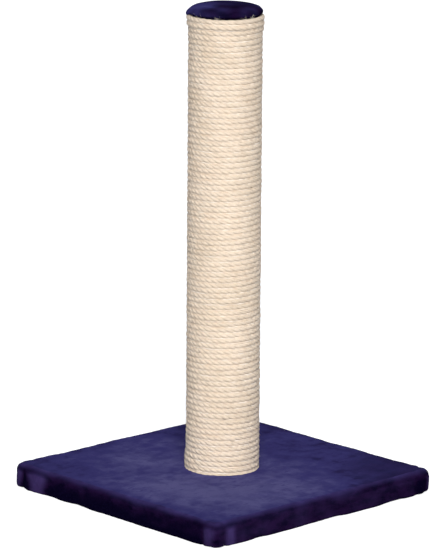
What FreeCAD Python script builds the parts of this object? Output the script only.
import FreeCAD, Part
import math
import os
import re
import Sketcher
from FreeCAD import Placement, Rotation, Vector

# Cat scratching post: a board covered in plush carries a cardboard tube, wound from the base to
# the top with sisal rope and closed with a padded plush cap. One bolt holds the tube to the board.
# Millimetres, +Z up. The origin is the middle of the underside, on the floor.

doc = FreeCAD.newDocument("ScratchingPost")

# ---------------------------------------------------------------------------------- the sizes

SIZES = (
    ("total_height", 602, "floor to the crown of the cap"),
    ("post_width", 90, "diameter over the rope"),
    # base
    ("board_side", 350, "square board, each side"),
    ("board_thick", 20, "board"),
    ("board_corner", 9, "plan radius of the board's corners"),
    ("plush_thick", 5, "backing and pile together"),
    ("plush_squashed", 2, "the same plush under the tube and the rope's first turn"),
    ("seat_width", 94.5, "place in the plush for the tube and the rope's first turn"),
    ("shoulder_round", 8, "upper edge of the covered base"),
    ("foot_round", 4, "lower edge of the covered base"),
    ("hem_width", 35, "plush turned under, from the outer side"),
    ("fold_room", 0.2, "air between the plush and the board's sides"),
    # post
    ("tube_width", 77, "cardboard tube, outside"),
    ("tube_wall", 3.5, "cardboard tube, wall"),
    ("tube_top", 589, "height of the tube's upper end"),
    ("plug_thick", 22, "wooden plug in each end of the tube"),
    # rope
    ("rope_width", 6.1, "one turn, a little under the pitch so that the turns stay apart"),
    ("rope_turns", 83.6, "turns from the base to the cap"),
    ("rope_lengths", 4, "lengths that the winding is divided into"),
    ("rope_foot_gap", 0.2, "air between the first turn and the plush under it"),
    ("rope_top", 589.3, "upper side of the last turn"),
    ("rope_start_angle", 200, "lower end of the rope, from +X, in degrees"),
    ("low_easing", 24, "turns over which the level first turn eases into a steady climb"),
    ("high_easing", 10, "turns over which the climb eases into the level last turn"),
    ("rope_bulge", 1.6, "step outwards of the last turns, over the cap's skirt"),
    ("bulge_start", 2.6, "where that step starts, in turns before the rope's end"),
    ("bulge_end", 2.1, "where it is complete, in turns before the rope's end"),
    ("joint_draw", 0.2, "radial step inwards where two lengths meet"),
    # fasteners
    ("bolt_width", 7.8, "bolt shank"),
    ("bolt_length", 40, "bolt, under its head"),
    ("bolt_tip", 1.2, "chamfer of the bolt's end"),
    ("bolt_head_across", 13, "hexagon, across its flats"),
    ("bolt_head_thick", 5.3, "hexagon"),
    ("bolt_hole", 9, "hole through the board, plush and plug"),
    ("washer_width", 30, "washer"),
    ("washer_thick", 2, "washer"),
    ("washer_hole", 8.4, "washer"),
    ("recess_width", 32, "counterbore under the board"),
    ("recess_deep", 8.5, "counterbore under the board"),
    ("nut_flange_width", 22, "tee nut, flange"),
    ("nut_flange_thick", 1.5, "tee nut, flange"),
    ("nut_barrel_width", 10, "tee nut, barrel"),
    ("nut_barrel_deep", 11, "tee nut, barrel under the flange"),
    ("nut_bore", 8.1, "tee nut, bore"),
    ("prong_deep", 6, "tee nut, each of four prongs"),
    ("prong_wide", 3, "tee nut, prong"),
    ("prong_thick", 1.2, "tee nut, prong"),
    ("prong_inset", 0.6, "tee nut, prong from the flange's edge"),
    ("nail_width", 2, "nail shank"),
    ("nail_length", 20, "nail, head included"),
    ("nail_head_width", 4.5, "nail head"),
    ("nail_head_thick", 0.9, "nail head"),
    ("nail_count", 4, "nails round each plug"),
    ("nail_angle", 45, "first nail of each plug, from +X, in degrees"),
    ("nail_sunk", 0.05, "nail heads, under the tube's surface"),
    ("low_nail_height", 34, "nails of the lower plug"),
    ("high_nail_height", 572, "nails of the upper plug"),
    ("staple_crown", 10, "staple, over its crown"),
    ("staple_leg", 8, "staple, leg with the crown"),
    ("staple_wide", 1.2, "flat staple wire, width"),
    ("staple_thick", 0.6, "flat staple wire, thickness"),
    ("staple_sunk", 2.2, "depth of the hem staples in the pile"),
    ("staple_inset", 23, "hem staples, from the covered base's outer side"),
    ("staple_step", 42, "hem staples, from one to the next"),
    ("hem_staples_a_side", 7, "hem staples along each side"),
    ("dimple_long", 13, "parted pile round a hem staple"),
    ("dimple_wide", 4, "parted pile round a hem staple"),
    ("rope_staple_leg", 9.2, "staple through the rope, leg with the crown"),
    ("rope_staple_turn", 0.045, "staple's place before the rope's end, in turns"),
    ("rope_staple_proud", 0.1, "middle of the staple's crown, over the rope"),
    ("skirt_staple_leg", 4, "staple through the skirt, leg with the crown"),
    ("skirt_staples", 6, "staples round the cap's skirt"),
    ("skirt_staple_height", 584.8, "staples round the cap's skirt"),
    ("skirt_staple_angle", 15, "first of those staples, from +X, in degrees"),
    ("skirt_staple_proud", 0.3, "middle of the staple's crown, over the skirt"),
    # cap
    ("rim_width", 91, "cap, over its widest roll"),
    ("rim_low", 589.7, "underside of the roll"),
    ("rim_high", 597, "height at which the crown would meet the roll's side"),
    ("rim_shoulder", 5.6, "upper rounding of the roll"),
    ("rim_under", 0.8, "lower rounding of the roll"),
    ("crown_skin", 2.5, "plush over the pad"),
    ("skirt_low", 578.6, "lower edge of the skirt, under the rope"),
    ("skirt_inner", 77.3, "skirt, inner diameter"),
    ("skirt_outer", 79.8, "skirt, outer diameter"),
    ("pad_width", 76.8, "foam pad"),
    ("pad_edge", 594.5, "foam pad, height of its edge"),
    ("pad_gap", 0.2, "air between the pad and the plush"),
)

sizes = doc.addObject("Spreadsheet::Sheet", "Sizes")
for row, (alias, amount, meaning) in enumerate(SIZES, start=1):
    sizes.set("A%d" % row, alias)
    sizes.set("B%d" % row, str(amount))
    sizes.set("C%d" % row, meaning)
    sizes.setAlias("B%d" % row, alias)
doc.recompute()

ALIASES = {alias for alias, amount, meaning in SIZES}

# Heights that several pieces share.
BOARD_LOW = "plush_thick"
BOARD_HIGH = "plush_thick + board_thick"
BASE_HIGH = "plush_thick + board_thick + plush_thick"
TUBE_LOW = "plush_thick + board_thick + plush_squashed"
WASHER_LOW = "plush_thick + recess_deep - washer_thick"
LOW_PLUG_HIGH = TUBE_LOW + " + plug_thick"
COVER_SIDE = "(board_side + 2 * plush_thick)"


def formula(text):
    """The same formula with the sheet named before each of its aliases."""
    def named(match):
        word = match.group(0)
        return "Sizes." + word if word in ALIASES else word
    return re.sub(r"[a-z_]+", named, str(text))


def number(text):
    return float(sizes.evalExpression(formula(text)))


def bind(thing, **formulas):
    for property_name, text in formulas.items():
        thing.setExpression(property_name, formula(text))


# ---------------------------------------------------------------------------- sketch and solid

def new_body(name):
    return doc.addObject("PartDesign::Body", name)


def sketch_on(body, role, height="0"):
    """An empty sketch on one of the body's own planes, raised by a height along its normal."""
    sketch = body.newObject("Sketcher::SketchObject", body.Name + "_sketch")
    plane = [item for item in body.Origin.OriginFeatures if item.Role == role][0]
    sketch.AttachmentSupport = [(plane, "")]
    sketch.MapMode = "FlatFace"
    sketch.AttachmentOffset = Placement(Vector(0, 0, number(height)), Rotation())
    sketch.setExpression("AttachmentOffset.Base.z", formula(height))
    return sketch


def draw_outline(sketch, points, crowns=()):
    """A closed outline through points given as formulas, each tied to the sheet.

    crowns names the sides that are arcs about a point of the vertical axis.
    """
    places = [Vector(number(across), number(up), 0) for across, up in points]
    count = len(points)
    for side in range(count):
        start = places[side]
        end = places[(side + 1) % count]
        if side in crowns:
            # The centre lies on the axis, as far from one end as from the other.
            centre_up = (end.dot(end) - start.dot(start)) / (2 * (end.y - start.y))
            centre = Vector(0, centre_up, 0)
            circle = Part.Circle(centre, Vector(0, 0, 1), (start - centre).Length)
            turned = (end - centre).cross(start - centre).z < 0
            first, last = (start, end) if turned else (end, start)
            arc = Part.ArcOfCircle(circle, circle.parameter(first), circle.parameter(last))
            sketch.addGeometry(arc)
        else:
            sketch.addGeometry(Part.LineSegment(start, end))
    for side, (across, up) in enumerate(points):
        start_vertex = arc_vertex(sketch, side, places[side])
        before = (side - 1) % count
        before_vertex = arc_vertex(sketch, before, places[side])
        sketch.addConstraint(Sketcher.Constraint("Coincident", before, before_vertex, side, start_vertex))
        for kind, text, place in (("DistanceX", across, places[side].x), ("DistanceY", up, places[side].y)):
            rule = sketch.addConstraint(Sketcher.Constraint(kind, -1, 1, side, start_vertex, place))
            sketch.setExpression("Constraints[%d]" % rule, formula(text))
    for side in crowns:
        sketch.addConstraint(Sketcher.Constraint("PointOnObject", side, 3, -2))


def arc_vertex(sketch, side, place):
    """1 where a side of the outline starts at the place, 2 where it ends there."""
    return 1 if (sketch.getPoint(side, 1) - place).Length < 0.001 else 2


def draw_circle(sketch, width):
    sketch.addGeometry(Part.Circle(Vector(0, 0, 0), Vector(0, 0, 1), number(width) / 2))
    sketch.addConstraint(Sketcher.Constraint("Coincident", 0, 3, -1, 1))
    rule = sketch.addConstraint(Sketcher.Constraint("Diameter", 0, number(width)))
    sketch.setExpression("Constraints[%d]" % rule, formula(width))


def square(side):
    half = "(%s) / 2" % side
    return [("-" + half, "-" + half), (half, "-" + half), (half, half), ("-" + half, half)]


def pad(body, sketch, length):
    feature = body.newObject("PartDesign::Pad", body.Name + "_pad")
    feature.Profile = sketch
    bind(feature, Length=length)
    doc.recompute()
    return feature


def pocket(body, sketch, depth, area):
    """Cuts downwards from the sketch, and checks that it took area times depth away."""
    before = body.Shape.Volume
    feature = body.newObject("PartDesign::Pocket", body.Name + "_pocket")
    feature.Profile = sketch
    bind(feature, Length=depth)
    doc.recompute()
    taken = before - body.Shape.Volume
    expected = number(depth) * number(area)
    if abs(taken - expected) > 0.01 * expected:
        raise ValueError("%s cuts %.1f, not %.1f" % (feature.Name, taken, expected))


def revolve(body, sketch):
    feature = body.newObject("PartDesign::Revolution", body.Name + "_turned")
    feature.Profile = sketch
    feature.ReferenceAxis = (sketch, ["V_Axis"])
    feature.Angle = 360
    doc.recompute()
    return feature


def round_edges(body, chosen, radius):
    """Rounds the edges of the body that the test chooses."""
    base = body.Tip
    names = ["Edge%d" % (place + 1) for place, edge in enumerate(base.Shape.Edges) if chosen(edge)]
    feature = body.newObject("PartDesign::Fillet", body.Name + "_round")
    feature.Base = (base, names)
    bind(feature, Radius=radius)
    doc.recompute()
    return feature


def stands_up(edge):
    return edge.BoundBox.ZLength > 1 and edge.BoundBox.XLength + edge.BoundBox.YLength < 0.001


def lies_at(height):
    level = number(height)
    return lambda edge: abs(edge.BoundBox.ZMin - level) + abs(edge.BoundBox.ZMax - level) < 0.001


def ring_edge(height, width):
    """Tests for the circle of that diameter at that height."""
    at_height = lies_at(height)
    wanted = number(width)
    return lambda edge: at_height(edge) and abs(edge.BoundBox.XLength - wanted) < 0.001


def turned_body(name, points, crowns=()):
    """A body turned about the vertical axis from an outline of (radius, height) formulas."""
    body = new_body(name)
    sketch = sketch_on(body, "XZ_Plane")
    draw_outline(sketch, points, crowns)
    revolve(body, sketch)
    return body


def ring_outline(inner, outer, low, high):
    return [(inner, low), (outer, low), (outer, high), (inner, high)]


def cut(label, base, *tools):
    """The base with each tool's shape taken out of it."""
    base.Label = label + "_uncut"
    result = base
    for tool in tools:
        step = doc.addObject("Part::Cut", label + "_cut")
        step.Base = result
        step.Tool = tool
        doc.recompute()
        result = step
    result.Label = label
    return result


def group(label, master, placements):
    """Loose copies of one fastener, as one sub-part."""
    copies = []
    for placement in placements:
        one = master.Shape.copy()
        one.Placement = placement
        copies.append(one)
    feature = doc.addObject("Part::Feature", label)
    feature.Shape = Part.Compound(copies)
    feature.Label = label
    return feature


# ---------------------------------------------------------------------------------- fasteners

def staple_master(name, leg):
    """A staple with its crown along X in the plane z = 0 and its legs up."""
    body = new_body(name)
    sketch = sketch_on(body, "XZ_Plane")
    half = "staple_crown / 2"
    inner = "(staple_crown / 2 - staple_thick)"
    draw_outline(sketch, [
        ("-" + half, "0"), (half, "0"), (half, leg), (inner, leg),
        (inner, "staple_thick"), ("-" + inner, "staple_thick"), ("-" + inner, leg), ("-" + half, leg),
    ])
    feature = pad(body, sketch, "staple_wide")
    feature.Midplane = True
    doc.recompute()
    return body


def nail_master():
    """A nail along Z with the top of its head at z = 0 and its point below."""
    body = turned_body("nail_master", [
        ("0", "-nail_length"), ("nail_width / 2", "-nail_length + nail_width"),
        ("nail_width / 2", "-nail_head_thick"), ("nail_head_width / 2", "-nail_head_thick"),
        ("nail_head_width / 2", "0"), ("0", "0"),
    ])
    return body


def around(angle, radius, height, lean):
    """A placement at that angle, radius and height, after the piece is laid over by lean."""
    turn = Rotation(Vector(0, 0, 1), angle)
    place = turn.multVec(Vector(radius, 0, height))
    return Placement(place, turn.multiply(lean))


# Crown upright to face outwards: the legs run towards the axis and the crown along the turn.
INWARD_STAPLE = Rotation(Vector(0, 1, 0), -90).multiply(Rotation(Vector(0, 0, 1), 90))
INWARD_NAIL = Rotation(Vector(0, 1, 0), 90)


def radial_nails(label, height):
    count = int(number("nail_count"))
    first = number("nail_angle")
    radius = number("tube_width / 2 - nail_sunk")
    places = [around(first + 360 * place / count, radius, number(height), INWARD_NAIL)
              for place in range(count)]
    return group(label, nail, places)


def hem_places(lift):
    """The places of the staples under the base, along its four sides."""
    count = int(number("hem_staples_a_side"))
    out = number(COVER_SIDE + " / 2 - staple_inset")
    step = number("staple_step")
    places = []
    for side in range(4):
        turn = Rotation(Vector(0, 0, 1), 90 * side)
        for place in range(count):
            along = (place - (count - 1) / 2) * step
            places.append(Placement(turn.multVec(Vector(along, -out, lift)), turn))
    return places


nail = nail_master()
hem_staple = staple_master("hem_staple_master", "staple_leg")
rope_staple = staple_master("rope_staple_master", "rope_staple_leg")
skirt_staple = staple_master("skirt_staple_master", "skirt_staple_leg")

base_cover_staples = group("base_cover_staples", hem_staple, hem_places(number("staple_sunk")))
bottom_plug_nails = radial_nails("bottom_plug_nails", "low_nail_height")
top_plug_nails = radial_nails("top_plug_nails", "high_nail_height")


def make_washer():
    body = turned_body("base_washer", ring_outline(
        "washer_hole / 2", "washer_width / 2", WASHER_LOW, WASHER_LOW + " + washer_thick"))
    return body


def make_bolt():
    """A hexagon bolt, head down, with a chamfered end."""
    seat = WASHER_LOW
    end = seat + " + bolt_length"
    shank = turned_body("bolt_shank", [
        ("0", seat), ("bolt_width / 2", seat), ("bolt_width / 2", end + " - bolt_tip"),
        ("bolt_width / 2 - bolt_tip", end), ("0", end),
    ])
    head = doc.addObject("Part::Prism", "bolt_head")
    head.Polygon = 6
    bind(head, Circumradius="bolt_head_across / 2 / cos(30)", Height="bolt_head_thick")
    head.setExpression("Placement.Base.z", formula(seat + " - bolt_head_thick"))
    bolt = doc.addObject("Part::MultiFuse", "base_bolt")
    bolt.Shapes = [head, shank]
    doc.recompute()
    return bolt


def make_tee_nut():
    """A flange on the plug, a threaded barrel in it and four prongs bent down into the wood."""
    seat = LOW_PLUG_HIGH
    mouth = seat + " - nut_barrel_deep"
    top = seat + " + nut_flange_thick"
    barrel = turned_body("tee_nut_barrel", [
        ("nut_bore / 2", mouth), ("nut_barrel_width / 2", mouth),
        ("nut_barrel_width / 2", seat), ("nut_flange_width / 2", seat),
        ("nut_flange_width / 2", top), ("nut_bore / 2", top),
    ])
    pieces = [barrel]
    for side in range(4):
        prong = doc.addObject("Part::Box", "prong_%d" % (side + 1))
        bind(prong, Length="prong_thick", Width="prong_wide", Height="prong_deep + nut_flange_thick / 2")
        turn = Rotation(Vector(0, 0, 1), 90 * side)
        corner = Vector(number("nut_flange_width / 2 - prong_thick - prong_inset"),
                        -number("prong_wide / 2"), number(seat + " - prong_deep"))
        prong.Placement = Placement(turn.multVec(corner), turn)
        pieces.append(prong)
    nut = doc.addObject("Part::MultiFuse", "tee_nut")
    nut.Shapes = pieces
    doc.recompute()
    return nut


base_washer = make_washer()
base_bolt = make_bolt()
tee_nut = make_tee_nut()

# --------------------------------------------------------------------------------------- base

def make_board():
    """The board, with its bolt hole and the counterbore for the bolt's head underneath."""
    body = new_body("board_blank")
    sketch = sketch_on(body, "XY_Plane", BOARD_LOW)
    draw_outline(sketch, square("board_side"))
    pad(body, sketch, "board_thick")
    round_edges(body, stands_up, "board_corner")
    hole = sketch_on(body, "XY_Plane", BOARD_HIGH)
    draw_circle(hole, "bolt_hole")
    pocket(body, hole, "board_thick", "pi * bolt_hole ^ 2 / 4")
    recess = sketch_on(body, "XY_Plane", BOARD_LOW + " + recess_deep")
    draw_circle(recess, "recess_width")
    pocket(body, recess, "recess_deep", "pi * (recess_width ^ 2 - bolt_hole ^ 2) / 4")
    return cut("base_board", body, base_cover_staples)


def make_dimple():
    """The pile parted under one hem staple."""
    box = doc.addObject("Part::Box", "dimple")
    bind(box, Length="dimple_long", Width="dimple_wide", Height="staple_sunk + 1")
    box.Placement.Base = Vector(-number("dimple_long / 2"), -number("dimple_wide / 2"), -1)
    doc.recompute()
    return box


def make_base_cover():
    """The plush over the board: drawn over its top and sides and turned under as a hem."""
    body = new_body("cover_blank")
    sketch = sketch_on(body, "XY_Plane")
    draw_outline(sketch, square(COVER_SIDE))
    pad(body, sketch, BASE_HIGH)
    round_edges(body, stands_up, "board_corner + plush_thick")
    round_edges(body, lies_at(BASE_HIGH), "shoulder_round")
    round_edges(body, lies_at("0"), "foot_round")
    room = sketch_on(body, "XY_Plane", BOARD_HIGH)
    draw_outline(room, square("board_side + 2 * fold_room"))
    pocket(body, room, "board_thick", "(board_side + 2 * fold_room) ^ 2")
    window = sketch_on(body, "XY_Plane", BOARD_LOW)
    window_side = COVER_SIDE + " - 2 * hem_width"
    draw_outline(window, square(window_side))
    pocket(body, window, "plush_thick", "(%s) ^ 2" % window_side)
    seat = sketch_on(body, "XY_Plane", BASE_HIGH)
    draw_circle(seat, "seat_width")
    pocket(body, seat, "plush_thick - plush_squashed", "pi * seat_width ^ 2 / 4")
    hole = sketch_on(body, "XY_Plane", TUBE_LOW)
    draw_circle(hole, "bolt_hole")
    pocket(body, hole, "plush_squashed", "pi * bolt_hole ^ 2 / 4")
    box = make_dimple()
    dimples = doc.addObject("Part::Feature", "staple_dimples")
    boxes = []
    for placement in hem_places(0):
        one = box.Shape.copy()
        one.Placement = placement.multiply(box.Placement)
        boxes.append(one)
    dimples.Shape = Part.Compound(boxes)
    return cut("base_plush_cover", body, dimples, base_cover_staples)


base_board = make_board()
base_plush_cover = make_base_cover()

# --------------------------------------------------------------------------------- rope's line

def smooth(part):
    part = min(max(part, 0), 1)
    return part * part * (3 - 2 * part)


TURNS = number("rope_turns")
ROPE_WIDTH = number("rope_width")
ROPE_LOW = number(TUBE_LOW + " + rope_foot_gap + rope_width / 2")
PITCH = (number("rope_top - rope_width / 2") - ROPE_LOW) / TURNS
BULGE_FROM = TURNS - number("bulge_start")
BULGE_TO = TURNS - number("bulge_end")


def climb(turn):
    """How high the rope has climbed after so many turns, counted in pitches.

    The first turn lies level in its seat and climbs a pitch in its second half. The last turn
    climbs in its first half and ends level. Between them the turns ease into a steady climb.
    """
    since_start = turn % 1
    late = smooth(2 * since_start - 1) - since_start
    since_end = (turn - TURNS) % 1
    early = smooth(2 * since_end) - since_end
    low_share = smooth(1 - turn / number("low_easing"))
    high_share = smooth(1 - (TURNS - turn) / number("high_easing"))
    return turn + low_share * late + high_share * early


def rope_point(turn, draw=0):
    """A point of the rope's middle line, moved inwards by draw."""
    angle = math.radians(number("rope_start_angle")) + 2 * math.pi * turn
    bulge = smooth((turn - BULGE_FROM) / (BULGE_TO - BULGE_FROM))
    radius = number("(post_width - rope_width) / 2") + number("rope_bulge") * bulge - draw
    return Vector(radius * math.cos(angle), radius * math.sin(angle), ROPE_LOW + PITCH * climb(turn))


def rope_direction(turn):
    step = rope_point(turn + 0.001) - rope_point(turn - 0.001)
    return step.normalize()


def arc(start, corner, end):
    """The arc from start to end whose tangents meet at the corner."""
    middle = (start + end) * 0.5
    half = (end - start).Length / 2
    turned = 2 * math.acos(min(1, half / (corner - start).Length))
    outwards = corner - middle
    outwards.normalize()
    return Part.Arc(start, middle + outwards * half * math.tan(turned / 4), end).toShape()


def biarc(start, start_way, end, end_way):
    """Two arcs that leave start and reach end in the given ways."""
    span = end - start
    ways = start_way + end_way
    spread = 2 * (1 - start_way.dot(end_way))
    along = span.dot(ways)
    reach = (math.sqrt(along * along + spread * span.dot(span)) - along) / spread
    first_corner = start + start_way * reach
    second_corner = end - end_way * reach
    middle = (first_corner + second_corner) * 0.5
    return [arc(start, first_corner, middle), arc(middle, second_corner, end)]


def rope_edges(first_turn, last_turn):
    """One length's line: straight for a rope's width at both ends, about a biarc a quarter turn."""
    draw = number("joint_draw")
    low_end = rope_point(first_turn, draw)
    high_end = rope_point(last_turn, draw)
    low_way = rope_direction(first_turn)
    high_way = rope_direction(last_turn)
    stations = [(low_end + low_way * ROPE_WIDTH, low_way)]
    steps = round(4 * (last_turn - first_turn))
    for step in range(1, steps):
        turn = first_turn + step * (last_turn - first_turn) / steps
        stations.append((rope_point(turn), rope_direction(turn)))
    stations.append((high_end - high_way * ROPE_WIDTH, high_way))
    edges = [Part.LineSegment(low_end, stations[0][0]).toShape()]
    for before, after in zip(stations, stations[1:]):
        edges += biarc(before[0], before[1], after[0], after[1])
    edges.append(Part.LineSegment(stations[-1][0], high_end).toShape())
    return edges


def least_gap(edges, turns):
    """The least air between a turn and the next, measured on points of the finished line."""
    points = []
    for edge in edges:
        steps = max(2, int(edge.Length / 3))
        points += edge.discretize(steps)[:-1]
    points_a_turn = int(len(points) / turns)
    near = range(int(0.8 * points_a_turn), int(1.2 * points_a_turn))
    least = min((points[place + ahead] - point).Length
                for place, point in enumerate(points)
                for ahead in near if place + ahead < len(points))
    return least - ROPE_WIDTH


def make_rope():
    """The winding, in lengths that meet face to face behind the post."""
    lengths = int(number("rope_lengths"))
    turns_each = math.ceil(TURNS / lengths)
    section = math.pi * ROPE_WIDTH ** 2 / 4
    pieces = []
    for place in range(lengths):
        first_turn = place * turns_each
        last_turn = min(first_turn + turns_each, TURNS)
        turns = last_turn - first_turn
        edges = rope_edges(first_turn, last_turn)
        start = edges[0].valueAt(edges[0].FirstParameter)
        circle = Part.makeCircle(ROPE_WIDTH / 2, start, rope_direction(first_turn))
        solid = Part.Wire(edges).makePipeShell([Part.Wire([circle])], True, False)
        length = sum(edge.Length for edge in edges)
        ratio = solid.Volume / (section * length)
        print("rope %d: %.1f turns, pitch %.3f mm, length %.0f mm, volume / (section x length) %.5f, "
              "least gap %.2f mm" % (place + 1, turns, PITCH, length, ratio, least_gap(edges, turns)))
        feature = doc.addObject("Part::Feature", "rope_winding_%d" % (place + 1))
        feature.Shape = solid
        pieces.append(feature)
    return pieces


def rope_staple_places():
    """A staple through the rope near each of its two ends."""
    inset = 360 * number("rope_staple_turn")
    start_angle = number("rope_start_angle")
    crown = number("post_width / 2 + rope_staple_proud")
    low = around(start_angle + inset, crown, ROPE_LOW, INWARD_STAPLE)
    end_angle = start_angle + 360 * TURNS
    high_height = ROPE_LOW + PITCH * TURNS
    high = around(end_angle - inset, crown + number("rope_bulge"), high_height, INWARD_STAPLE)
    return [low, high]


rope_end_staples = group("rope_end_staples", rope_staple, rope_staple_places())
rope_windings = make_rope()
rope_windings[0] = cut("rope_winding_1", rope_windings[0], rope_end_staples)
rope_windings[-1] = cut("rope_winding_%d" % len(rope_windings), rope_windings[-1], rope_end_staples)

# ---------------------------------------------------------------------------------------- cap

def make_cap_cover():
    """Plush drawn over the pad: a crown, a roll over the last turn and a skirt under the rope."""
    inner = "skirt_inner / 2"
    skirt = "skirt_outer / 2"
    rim = "rim_width / 2"
    body = turned_body("cap_cover_blank", [
        (inner, "skirt_low"), (skirt, "skirt_low"), (skirt, "rim_low"), (rim, "rim_low"),
        (rim, "rim_high"), ("0", "total_height"), ("0", "total_height - crown_skin"),
        (inner, "pad_edge + pad_gap"),
    ], crowns=(4, 6))
    round_edges(body, ring_edge("rim_high", "rim_width"), "rim_shoulder")
    round_edges(body, ring_edge("rim_low", "rim_width"), "rim_under")
    return cut("cap_plush_cover", body, cap_staples, rope_end_staples)


def make_pad():
    """A round of foam on the tube's end, higher in its middle."""
    body = turned_body("cap_foam_pad", [
        ("0", "tube_top"), ("pad_width / 2", "tube_top"), ("pad_width / 2", "pad_edge"),
        ("0", "total_height - crown_skin - pad_gap"),
    ], crowns=(2,))
    return body


def make_cap_staples():
    count = int(number("skirt_staples"))
    first = number("skirt_staple_angle")
    height = number("skirt_staple_height")
    radius = number("skirt_outer / 2 + skirt_staple_proud")
    places = [around(first + 360 * place / count, radius, height, INWARD_STAPLE)
              for place in range(count)]
    return group("cap_staples", skirt_staple, places)


cap_staples = make_cap_staples()
cap_foam_pad = make_pad()
cap_plush_cover = make_cap_cover()

# --------------------------------------------------------------------------------------- post

def make_plug(name, low):
    return turned_body(name, [
        ("0", low), ("tube_width / 2 - tube_wall", low),
        ("tube_width / 2 - tube_wall", low + " + plug_thick"), ("0", low + " + plug_thick"),
    ])


def make_bottom_plug():
    """The plug that the bolt draws down onto the board."""
    body = make_plug("bottom_plug_blank", TUBE_LOW)
    hole = sketch_on(body, "XY_Plane", LOW_PLUG_HIGH)
    draw_circle(hole, "bolt_hole")
    pocket(body, hole, "plug_thick", "pi * bolt_hole ^ 2 / 4")
    return cut("bottom_plug", body, tee_nut, bottom_plug_nails)


def make_top_plug():
    body = make_plug("top_plug_blank", "tube_top - plug_thick")
    return cut("top_plug", body, top_plug_nails)


def make_tube():
    body = turned_body("tube_blank", ring_outline(
        "tube_width / 2 - tube_wall", "tube_width / 2", TUBE_LOW, "tube_top"))
    return cut("post_tube", body, bottom_plug_nails, top_plug_nails, rope_end_staples, cap_staples)


bottom_plug = make_bottom_plug()
top_plug = make_top_plug()
post_tube = make_tube()

# ----------------------------------------------------------------------------- check and write

SUB_PARTS = [
    base_board, base_plush_cover, base_cover_staples, base_bolt, base_washer, tee_nut,
    bottom_plug, bottom_plug_nails, post_tube, top_plug, top_plug_nails,
    *rope_windings, rope_end_staples, cap_foam_pad, cap_plush_cover, cap_staples,
]

doc.recompute()
for thing in doc.Objects:
    if {"Invalid", "Error"} & set(thing.State):
        raise ValueError("%s failed: %s" % (thing.Label, thing.State))
for sub_part in SUB_PARTS:
    if sub_part.Shape.isNull() or not sub_part.Shape.isValid() or not sub_part.Shape.Solids:
        raise ValueError("%s has no valid solid" % sub_part.Label)

os.makedirs("parts", exist_ok=True)
for sub_part in SUB_PARTS:
    sub_part.Shape.exportStep("parts/%s.step" % sub_part.Label)
    print("%-20s %3d solid(s) %12.1f mm3" % (
        sub_part.Label, len(sub_part.Shape.Solids), sub_part.Shape.Volume))
